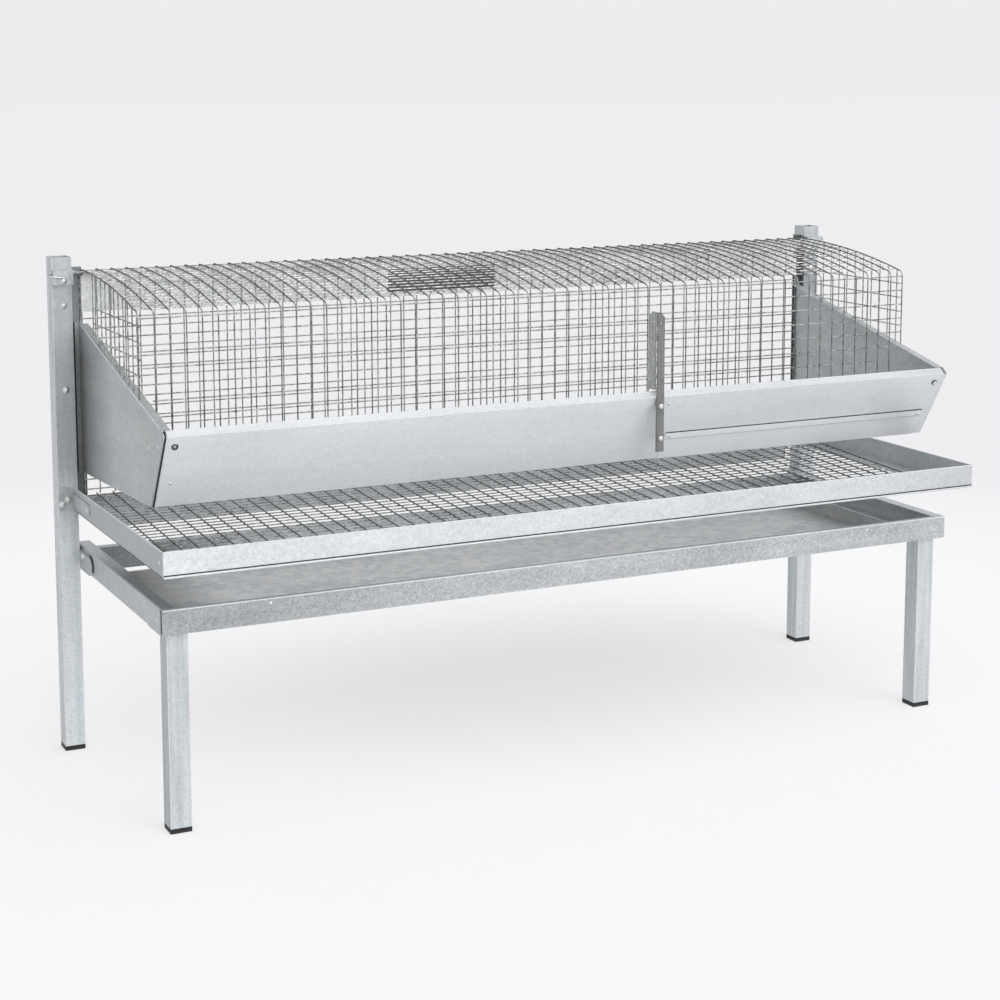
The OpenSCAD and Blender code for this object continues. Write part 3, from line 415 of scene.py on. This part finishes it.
plate_grain = noise(plate_place, scale=120.0, detail=5.0)
plate_place.put(plate_shader.inputs["Base Color"],
                between(plate_place, plate_grain, linear(54, 55, 54), linear(98, 98, 95)))
plate_place.put(plate_shader.inputs["Roughness"], 0.4 + plate_grain * 0.3)
dress(plate_dark, "rear_plate")

# Side panels. Five-sided sheets of ordinary galvanised sheet, flanged along the slope, with dull
# bands along the rolling direction.
panel_rear = ("y", 40, 175), ("z", 560, 500)
for panel_node in ("side_panel_left", "side_panel_right"):
    panel_zinc = zinc(panel_node + "_zinc", linear(222, 225, 226), linear(170, 174, 175), metallic=0.4,
                      roughness=0.44, flower=6, flower_share=0.3, streak=0.6, run=(3.0, 0.5, 3.0), grain=0.8)
    # The left panel takes painted shade: a little all over and more towards its rear.
    if panel_node == "side_panel_left":
        shade(panel_zinc, 0.86)
        shade(panel_zinc, 0.46, *panel_rear)
    dress(panel_zinc, panel_node)

# Feed trough. Two lengths of fresh galvanised sheet, folded to one profile with a bright lip, and
# an apron riveted over the foot of the right-hand length. Narrow strips carry its front on at both
# ends, over the side panels' edges.
trough_low, trough_high = node_box("trough_right")
trough_half, trough_front, lip_top = trough_high[0], trough_low[1], trough_high[2]
left_length, trough_right_end = ("x", 100, 60), ("x", 420, 520)
trough_zinc = zinc("trough_zinc", linear(242, 245, 247), linear(214, 219, 222), metallic=0.35, roughness=0.42,
                   flower=3.5, flower_share=0.25, streak=0.5, run=(0.4, 3.0, 3.0), grain=0.8)
shade(trough_zinc, 1.06, left_length)
shade(trough_zinc, 0.9, trough_right_end)
dress(trough_zinc, "trough_left", "trough_right")
apron_low, apron_high = node_box("trough_apron")
apron_left, apron_right, apron_top = apron_low[0], apron_high[0], apron_high[2]
apron_fold_z = apron_top - 7.5
apron_band, apron_right_end = ("z", apron_fold_z, apron_fold_z + 0.5), ("x", 360, 520)
apron_zinc = zinc("apron_zinc", linear(250, 252, 253), linear(226, 230, 232), metallic=0.35, roughness=0.42,
                  flower=3.5, flower_share=0.25, streak=0.5, run=(0.4, 3.0, 3.0), grain=0.8)
shade(apron_zinc, 1.05, apron_band)
shade(apron_zinc, 0.88, apron_right_end)
dress(apron_zinc, "trough_apron")
strip_in, strip_w = trough_half + 0.1, 3.8
strip_y, strip_lean = trough_front + 0.2, 53.2
strip_z, strip_drop = 457.6, 87.4
strip_rows = 12
strip_x, strip_share = np.meshgrid([strip_in, strip_in + strip_w], np.linspace(0, 1, strip_rows),
                                   indexing="ij")
end_strip = np.stack([strip_x, strip_y + strip_lean * strip_share, strip_z - strip_drop * strip_share], -1)
for strip_name, side in (("trough_end_strip_left", -1), ("trough_end_strip_right", 1)):
    strip = mesh_piece(strip_name, (end_strip * (side, 1, 1))[::side], grid_faces(2, strip_rows, False),
                       trough_zinc, "stand")

# Centre upright. A dull angle of galvanised sheet, folded along a line of slots. Two bolts with
# sleeves round them hold it in front of the leaning trough.
upright_front = node_box("centre_upright")[0][1]
upright_side_leg = ("y", upright_front + 1.6, upright_front + 2.0)
upright_zinc = zinc("upright_zinc", linear(140, 142, 140), linear(96, 98, 97), metallic=0.45, roughness=0.5,
                    flower=6, flower_share=0.3, streak=0.6, run=(3.0, 3.0, 0.6), grain=0.9)
# Painted light on the angle's side leg.
shade(upright_zinc, 2.7, upright_side_leg)
dress(upright_zinc, "centre_upright")
dress(frame_zinc, "upright_sleeves")

# Hinge rod and hood. A plain rod in two flat-fronted clamps, and the hood of welded mesh whose top
# wires are curled round the rod, so that the hood swings up from the front.
dress(wire_zinc, "hinge_rod")
dress(frame_zinc, "rod_clamp_left", "rod_clamp_right")
_, rod_y, rod_z = sum(node_box("hinge_rod")) / 2
front_low, front_high = node_box("hood_front_cross_wires")
front_x, front_z = crossings(line_x, front_high[2] - wire_r - steps(front_high[2] - front_low[2], pitch))
end_line_foot = node_box("hood_end_left_line_wires")[0][2]
short = (np.abs(front_x) == line_x[-1]) & (front_z < end_line_foot)
lay_beads("hood_front_welds", np.stack(
    [front_x, np.full(front_x.shape, front_low[1] - weld_gap / 2), front_z], -1)[~short], "hood")
crown_r = 1080
curl_r = 3.4
top_rows = 18
crown_centre = rod_z + curl_r - crown_r
top_x, top_turn = crossings(line_x, np.arange(1, top_rows + 1) * row_pitch / crown_r)
lay_beads("hood_top_welds", np.stack(
    [top_x, rod_y - (crown_r - layer / 2) * np.sin(top_turn),
     crown_centre + (crown_r - layer / 2) * np.cos(top_turn)], -1), "hood")
end_low, end_high = node_box("hood_end_right_cross_wires")
end_columns, end_rows = 11, 4
end_row_z = end_high[2] - wire_r - np.arange(end_rows) * pitch
end_y, end_z = crossings(front_low[1] - layer + (np.arange(end_columns) + 0.5) * pitch, end_row_z)
slope_y, slope_rise, slope_clearance = -159.6, 0.233, 3
met = end_z - slope_clearance > lip_top + (end_y - slope_y) * slope_rise
end_x = np.full(end_y.shape, end_high[0] + weld_gap / 2)[met]
lay_beads("hood_end_welds", np.concatenate(
    [np.stack([side * end_x, end_y[met], end_z[met]], -1) for side in (-1, 1)]), "hood")

# Bolts and rivets. Zinc-plated bolts with a pressed washer under a rounded head and hexagon nuts
# behind, rings and buttons at the trough's corners, and low rivets where thin sheets meet.
bolt_zinc, bolt_shader, bolt_place = blank("bolt_zinc", metallic=0.85, roughness=0.3)
bolt_cloud = noise(bolt_place, scale=260.0, detail=3.0)
bolt_place.put(bolt_shader.inputs["Base Color"],
               between(bolt_place, bolt_cloud, linear(184, 186, 184), linear(242, 242, 240)))
bolt_place.put(bolt_shader.inputs["Roughness"], 0.22 + bolt_cloud * 0.25)
dress(bolt_zinc, *[name for name in nodes if name.endswith("_bolts")])


def turned(profile, count):
    """A profile of radius and height pairs turned about its axis, in count steps."""
    turn = np.linspace(0, 2 * np.pi, count, endpoint=False)
    radius, height = np.asarray(profile).T
    points = np.stack([radius[:, None] * np.cos(turn), radius[:, None] * np.sin(turn),
                       height[:, None] + 0 * turn], -1)
    return points.reshape(-1, 3), grid_faces(len(profile), count)


def facing(points, out):
    """Turns a shape whose axis is +Z so that it faces along out."""
    return points @ np.array(Vector((0, 0, 1)).rotation_difference(Vector(out)).to_matrix()).T


dome = [[0.01, 3.0], [1.6, 2.9], [2.8, 2.55], [3.3, 1.9], [3.4, 0.75], [4.4, 0.7], [4.6, 0.35], [4.6, 0.0]]
small_dome = [[0.01, 2.7], [1.4, 2.6], [2.6, 2.4], [3.1, 1.9], [3.2, 0.0]]
ring = [[2.0, 0.3], [2.2, 1.4], [2.9, 2.0], [3.6, 1.6], [4.0, 0.6], [4.1, 0.0]]
wide_button = [[0.01, 2.5], [1.6, 2.4], [2.8, 2.2], [3.3, 1.6], [3.4, 0.6]]
button = [[0.01, 1.3], [1.0, 1.2], [1.8, 0.8], [2.1, 0.2], [2.1, 0.0]]
rivet = [[0.01, 1.25], [0.9, 1.15], [1.7, 0.8], [2.2, 0.3], [2.3, 0.0]]
forward, outward = (0, -1, 0), (1, 0, 0)


def heads(name, profile, spots, body, finish=bolt_zinc, count=20):
    """Heads of one profile, each at its spot and facing along its own direction."""
    points, faces = turned(profile[::-1], count)
    parts = [facing(points, out) + np.array(at) for at, out in spots]
    piece = mesh_piece(name, *joined(parts, faces), finish, body)
    return piece


def both(x, y, z, out):
    """The same spot on the right and on the left."""
    return [((x, y, z), out), ((-x, y, z), (-out[0], out[1], out[2]))]


trough_z, trough_lean, trough_drop = 458, 53.5, 88
front_lean = np.arctan2(trough_lean, trough_drop)
front_out = (0, -float(np.cos(front_lean)), -float(np.sin(front_lean)))


def on_front(x, z, proud=0.0):
    """A spot on the trough's leaning front, at a height, with the direction square to it."""
    y = trough_front + (trough_z - z) * trough_lean / trough_drop
    return (x, y + proud * front_out[1], z + proud * front_out[2]), front_out


stile_bolt_x, stile_bolt_high, stile_bolt_low = 554.25, 568.5, 463
heads("stile_heads", dome, both(stile_bolt_x, post_front, stile_bolt_high, forward)
      + both(stile_bolt_x, post_front, stile_bolt_low, forward), "stand")
post_middle_x, post_middle_y, _ = (post_low + post_high) / 2
clamp_front = node_box("rod_clamp_right")[0][1]
clamp_bolt_z = 599.5
heads("clamp_heads", dome, both(post_middle_x, clamp_front, clamp_bolt_z, forward), "stand")
plate_t = 1.5
cleat_front = post_front - plate_t
upper_cleat_x, upper_cleat_z = 556, 324.9
lower_cleat_x, lower_cleat_z = 563, 319.7
heads("cleat_heads", dome, both(upper_cleat_x, cleat_front, upper_cleat_z, forward)
      + both(lower_cleat_x, cleat_front, lower_cleat_z, forward), "stand")
stile_side_z, base_bolt_z = 322, 254.1
rear_rail_middle = (rear_rail_low[1] + rear_rail_high[1]) / 2
heads("side_heads", dome, both(post_out, post_middle_y, stile_side_z, outward)
      + both(post_out, post_middle_y, base_bolt_z, outward)
      + both(post_in, rear_rail_middle, base_bolt_z, outward), "stand")
upright_bolt_x, upright_bolt_zs = 94.1, (447, 407)
heads("upright_heads", small_dome,
      [((upright_bolt_x, upright_front, z), forward) for z in upright_bolt_zs], "stand")
corner_x, corner_z = 519.5, 446
corners = [on_front(corner_x, corner_z), on_front(-corner_x, corner_z)]
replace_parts(heads("trough_rings", ring, corners, "stand", wire_dark), "trough_bolts")
heads("trough_buttons", button, corners[1:], "stand")
heads("trough_dome", wide_button, corners[:1], "stand")
panel_wall_x = panel_out - 5
panel_rivets = [(-148, 445), (-112, 438)]
heads("panel_rivets", rivet,
      [spot for y, z in panel_rivets for spot in both(panel_wall_x, y, z, outward)], "stand")
wall_rivet_y, wall_rivet_z = -192, 326
strap_rivet_y, strap_rivet_z = 106, 325.5
heads("tray_rivets", rivet, both(tray_x, wall_rivet_y, wall_rivet_z, outward)
      + both(tray_x + plate_t, strap_rivet_y, strap_rivet_z, outward), "stand")
rail_rivet_y, rail_rivet_z = -145, 249
heads("rail_rivets", rivet, both(rail_x, rail_rivet_y, rail_rivet_z, outward), "stand")
fascia_front = node_box("drawer_fascia")[0][1]
fascia_rivet_x, fascia_rivet_z = 413, 258
heads("fascia_rivets", rivet, both(fascia_rivet_x, fascia_front, fascia_rivet_z, forward), "drawer")
foot_rivet, joint_rivet = on_front(x=-517, z=399), on_front(x=112, z=447)
apron_rivet_z, apron_proud = 402, 2.0
apron_rivets = [on_front(x, apron_rivet_z, apron_proud) for x in (127, 513)]
heads("trough_rivets", rivet, [foot_rivet, joint_rivet] + apron_rivets, "stand")

# Folded and dressed edges. The sheets' free edges and outer folds are rounded, in a brighter zinc
# that paints a highlight along them, dark beads paint the shadow in the grooves where one sheet meets
# another, and short wire ties close the hood's corners.
# A brighter zinc paints the highlight along the rounded edges.
edge_highlight_zinc = zinc("edge_highlight_zinc", linear(240, 242, 243), linear(196, 201, 203), metallic=0.45, roughness=0.34,
                 flower=6, flower_share=0.2, streak=0.5, run=(1.0, 1.0, 1.0), grain=0.6)
# A near-black finish for beads that paint the shadow in grooves and gaps.
gap_shadow_dark, dark_shader, dark_place = blank("gap_shadow_dark", metallic=0.3, roughness=0.6)
dark_grain = noise(dark_place, scale=300.0, detail=3.0)
dark_place.put(dark_shader.inputs["Base Color"],
               between(dark_place, dark_grain, linear(16, 17, 17), linear(66, 68, 68)))


def edges(name, lines, body, radius, finish=edge_highlight_zinc, count=8):
    """Round beads along straight edges: a ring of points at each end of a line, square to it."""
    turn = np.linspace(0, 2 * np.pi, count, endpoint=False)
    circle = np.stack([np.cos(turn), np.sin(turn), 0 * turn], -1) * radius
    parts = []
    for start, end in lines:
        way = Vector(np.subtract(end, start))
        parts.append(np.concatenate([facing(circle, way) + start, facing(circle, way) + end]))
    piece = mesh_piece(name, *joined(parts, grid_faces(2, count)), finish, body)


def mirrored(lines):
    """The same lines on both sides."""
    return lines + [tuple((-x, y, z) for x, y, z in line) for line in lines]


def upright_line(x, y, foot, top):
    """A line that stands on end."""
    return (x, y, foot), (x, y, top)


def length_line(half, y, z):
    """A line along the cage, as far to the left as to the right."""
    return (-half, y, z), (half, y, z)


def depth_line(x, front, back, z):
    """A line from the front to the back."""
    return (x, front, z), (x, back, z)


bead_in = 0.6
tube_foot, inner_bead_top = 8, 300
post_bead_y, post_bead_top = post_front + bead_in, post_high[2] - 2
leg_bead_y, leg_bead_top = leg_low[1] + bead_in, leg_high[2] - 1.5
edges("post_edges", mirrored([
    upright_line(post_out - bead_in, post_bead_y, tube_foot, post_bead_top),
    upright_line(post_in + bead_in, post_bead_y, tube_foot, inner_bead_top)]), "stand", radius=0.8)
edges("leg_edges", mirrored([
    upright_line(leg_high[0] - bead_in, leg_bead_y, tube_foot, leg_bead_top),
    upright_line(leg_low[0] + bead_in, leg_bead_y, tube_foot, leg_bead_top)]), "stand", radius=0.8)
tray_front, tray_foot, tray_half = tray_low[1], tray_low[2], tray_x - 0.3
rim_y, rim_z = tray_front + 3.1, tray_high[2] - 0.3
edges("tray_edges", [length_line(tray_half, rim_y, rim_z)]
      + mirrored([depth_line(tray_x - bead_in, rim_y + 0.5, post_front - 0.5, rim_z)]), "stand", radius=0.85)
hem_y, hem_z = tray_front + 1.3, tray_foot + 0.9
edges("tray_hem", [length_line(tray_half, hem_y, hem_z)], "stand", radius=1.2)
# A dark bead paints the shadow in the fold above the hem, and two more along the foot of the tray's side
# walls.
groove_y, groove_z = tray_front + 2.3, tray_foot + 2.6
edges("tray_groove_shadow", [length_line(tray_half, groove_y, groove_z)], "stand", radius=0.6, finish=gap_shadow_dark)
side_groove = depth_line(tray_x - 0.2, front=-200, back=170, z=tray_foot + 0.4)
edges("tray_side_groove_shadows", mirrored([side_groove]), "stand", radius=0.5, finish=gap_shadow_dark)
fold_in = 1
fascia_fold = length_line(rail_x - 0.4, fascia_front + fold_in, rail_top - fold_in)
edges("fascia_edges", [fascia_fold], "drawer", radius=1.2)
rail_fold = depth_line(rail_x - fold_in, rail_front + bead_in, back=178, z=rail_top - fold_in)
edges("rail_edges", mirrored([rail_fold]), "stand", radius=1.2, finish=frame_zinc)
pan_low, pan_high = node_box("drawer_pan")
pan_rim, pan_front, pan_back = pan_high[2], -162, 56
pan_rear_y, pan_rear_z = pan_high[1] - bead_in, 250
edges("pan_edges", [depth_line(pan_high[0] - bead_in, pan_front, pan_back, pan_rim),
                    depth_line(pan_low[0] + bead_in, pan_front, pan_back, pan_rim),
                    ((pan_low[0] + 1.5, pan_rear_y, pan_rear_z), (pan_high[0] - 1, pan_rear_y, pan_rear_z))],
      "drawer", radius=0.8)
lip_half, lip_back = trough_half - 0.3, -160
edges("lip_edges", [length_line(lip_half, lip_back, lip_top - 0.3),
                    length_line(lip_half, trough_front + bead_in, trough_z - 0.1)], "stand", radius=0.75)
slope_foot, slope_head = (533.8, -155, 465.0), (533.8, 181.5, 543.4)
edges("slope_edges", mirrored([(slope_foot, slope_head)]), "stand", radius=0.9)
groove_proud = 0.3
# A dark bead paints the shadow along the apron's top edge.
apron_groove_shadow = [on_front(x, apron_top, groove_proud)[0] for x in (apron_left, apron_right)]
edges("apron_groove_shadow", [apron_groove_shadow], "stand", radius=0.8, finish=gap_shadow_dark)
apron_fold = [on_front(x, apron_fold_z, apron_proud)[0] for x in (apron_left, apron_right)]
edges("apron_fold", [apron_fold], "stand", radius=0.5, finish=frame_zinc)
tie_in, tie_out = end_high[0] - wire_r, line_x[-1] - 0.6
tie_back, tie_front = end_low[1] + 0.4, end_low[1] - 0.6
corner_ties = [((tie_in, tie_back, z), (tie_out, tie_front, z)) for z in end_row_z]
edges("hood_corner_ties", mirrored(corner_ties), "hood", radius=0.75, finish=wire_zinc)

# Painted gap shadows and the rod's hook. Dark beads paint the shadow in the gaps round the base cleats'
# ends and down the trough's left end, and a wire hook holds the rod's left-hand end to its clamp. All are
# swept along short paths.


def swept(name, path, body, radius, finish, count=8):
    """A round wire along a path: a ring at each point, square to the path's direction there."""
    path = np.asarray(path, float)
    way = np.gradient(path, axis=0)
    way /= np.linalg.norm(way, axis=1, keepdims=True)
    aside = np.cross(way, (0.13, 0.21, 0.97))
    aside /= np.linalg.norm(aside, axis=1, keepdims=True)
    above = np.cross(aside, way)
    turn = np.linspace(0, 2 * np.pi, count, endpoint=False)[None, :, None]
    rings = path[:, None] + (aside[:, None] * np.cos(turn) + above[:, None] * np.sin(turn)) * radius
    piece = mesh_piece(name, rings, grid_faces(len(path), count), finish, body)


seam_x, seam_y, seam_z, seam_r = rail_x + 0.1, 136.9, 246.6, 12.7
seam_turn = np.radians(np.linspace(-24, 104, 16))
for shadow_name, side in (("cleat_shadow_left", -1), ("cleat_shadow_right", 1)):
    cleat_shadow = np.stack([np.full(seam_turn.shape, side * seam_x),
                           seam_y - seam_r * np.cos(seam_turn), seam_z + seam_r * np.sin(seam_turn)], -1)
    swept(shadow_name, cleat_shadow, "stand", radius=1.4, finish=gap_shadow_dark)
trough_shadow_x = -531.9
front_shadow = [on_front(trough_shadow_x, z)[0] for z in np.linspace(370.5, 457.4, 12)]
lip_shadow = [(trough_shadow_x, -166.6, 459.5), (trough_shadow_x, -164.6, 462.3), (trough_shadow_x, -161.4, 464.2)]
swept("trough_shadow", front_shadow + lip_shadow, "stand", radius=1.25, finish=gap_shadow_dark)
hook_path = [(-570.3, 176.5, 606.5), (-570.4, 172.5, 606.0), (-569.4, 170.2, 605.5), (-566.5, 169.4, 605.0),
             (-561, 169.3, 604.2), (-556, 169.4, 603.6), (-552.5, 169.9, 603.2)]
swept("rod_hook", hook_path, "stand", radius=1.3, finish=bolt_zinc)

# Floor, light and camera. A pale floor that runs into an equally pale background, one broad soft
# light from the upper front and right, and the photograph's viewpoint. Lengths here are in metres.
floor_half = 40
floor_mesh = bpy.data.meshes.new("floor")
floor_mesh.from_pydata([(-floor_half, -floor_half, 0), (floor_half, -floor_half, 0),
                        (floor_half, floor_half, 0), (-floor_half, floor_half, 0)], [], [(0, 1, 2, 3)])
floor = bpy.data.objects.new("floor", floor_mesh)
bpy.context.scene.collection.objects.link(floor)


def seen_rays(place):
    """One for rays that show a surface directly, in a reflection or through glass."""
    return sum(place.node("LightPath", None, None, "Is " + kind + " Ray")
               for kind in ("Camera", "Glossy", "Transmission"))


def distance(place):
    """The length of a place vector."""
    return place.node("VectorMath", {"operation": "LENGTH"}, {0: place}, 1)


near_floor, far_floor = 0.7, 1.9
# A soft dark ellipse under the cage, painted into the floor's glow, is a painted shadow.
under_shadow_x, under_shadow_y, under_shadow_half_x, under_shadow_half_y, under_shadow_depth = 0.1, 0.2, 0.80, 0.48, 0.23
floor_glow, near_glow = 1.115, 0.55
ground, ground_shader, ground_place = blank("ground", metallic=0.0, roughness=1.0)
ground_shader.inputs["Base Color"].default_value = (*linear(250, 250, 251), 1)
ground_shader.inputs["Specular IOR Level"].default_value = 0.0
ground_far = ground_place.node("MapRange", {"clamp": True}, {
    0: distance(ground_place), 1: near_floor, 2: far_floor, 3: 0.0, 4: 1.0})
ground_shadow_mask = ground_place.node("VectorMath", {"operation": "MULTIPLY_ADD"}, {
    0: ground_place, 1: (1 / under_shadow_half_x, 1 / under_shadow_half_y, 0),
    2: (-under_shadow_x / under_shadow_half_x, -under_shadow_y / under_shadow_half_y, 0)})
ground_shadow_mask = ground_place.node("MapRange", {"clamp": True, "interpolation_type": "SMOOTHSTEP"}, {
    0: distance(ground_shadow_mask), 1: 1.0, 2: 0.1, 3: 0.0, 4: 1.0})
ground_tone = between(ground_place, ground_far, linear(252, 252, 253), linear(227, 227, 229))
ground_tone = ground_place.node("VectorMath", {"operation": "SCALE"},
                                {0: ground_tone, 3: 1 - ground_shadow_mask * under_shadow_depth})
ground_glow = ground_place.node("Emission", None, {0: ground_tone, 1: floor_glow})
ground_mix = ground_place.node("MixShader", None, {
    0: seen_rays(ground_place) * (near_glow + ground_far * (1 - near_glow)),
    1: Value(ground.node_tree, ground_shader.outputs[0]), 2: ground_glow})
ground_place.put(ground.node_tree.nodes["Material Output"].inputs["Surface"], ground_mix)
floor_mesh.materials.append(ground)

world = bpy.data.worlds.new("studio")
bpy.context.scene.world = world
world.use_nodes = True
air = world.node_tree.nodes["Background"]
air.inputs["Color"].default_value = (*linear(254, 254, 255), 1)
seen_sky, lit_sky, lit_sky_right = 0.855, 0.68, 0.17
sky = Value(world.node_tree, world.node_tree.nodes.new("ShaderNodeTexCoord").outputs["Generated"])
sky_right = sky.node("SeparateXYZ", None, {0: sky})
sky_seen = seen_rays(sky)
sky.put(air.inputs["Strength"], sky_seen * seen_sky + (1 - sky_seen) * (sky_right * lit_sky_right + lit_sky))

sun = bpy.data.lights.new("sun", "SUN")
sun.energy, sun.angle = 1.45, np.radians(60)
sun_way = Vector((-0.30, 1.0, -0.36))
light = bpy.data.objects.new("sun", sun)
light.rotation_euler = sun_way.to_track_quat("-Z", "Y").to_euler()
bpy.context.scene.collection.objects.link(light)

lens = bpy.data.cameras.new("camera")
lens.lens, lens.sensor_width, lens.clip_end = 72.51, 36.0, 100
lens.shift_y = -0.15
camera_down, camera_turn = 7.98, -26.186
camera = bpy.data.objects.new("camera", lens)
camera.location = (-1.15962, -2.27148, 0.85871)
camera.rotation_euler = Euler((np.radians(90 - camera_down), 0, np.radians(camera_turn)))
bpy.context.scene.collection.objects.link(camera)
bpy.context.scene.camera = camera
bpy.context.scene.view_settings.view_transform = "Standard"
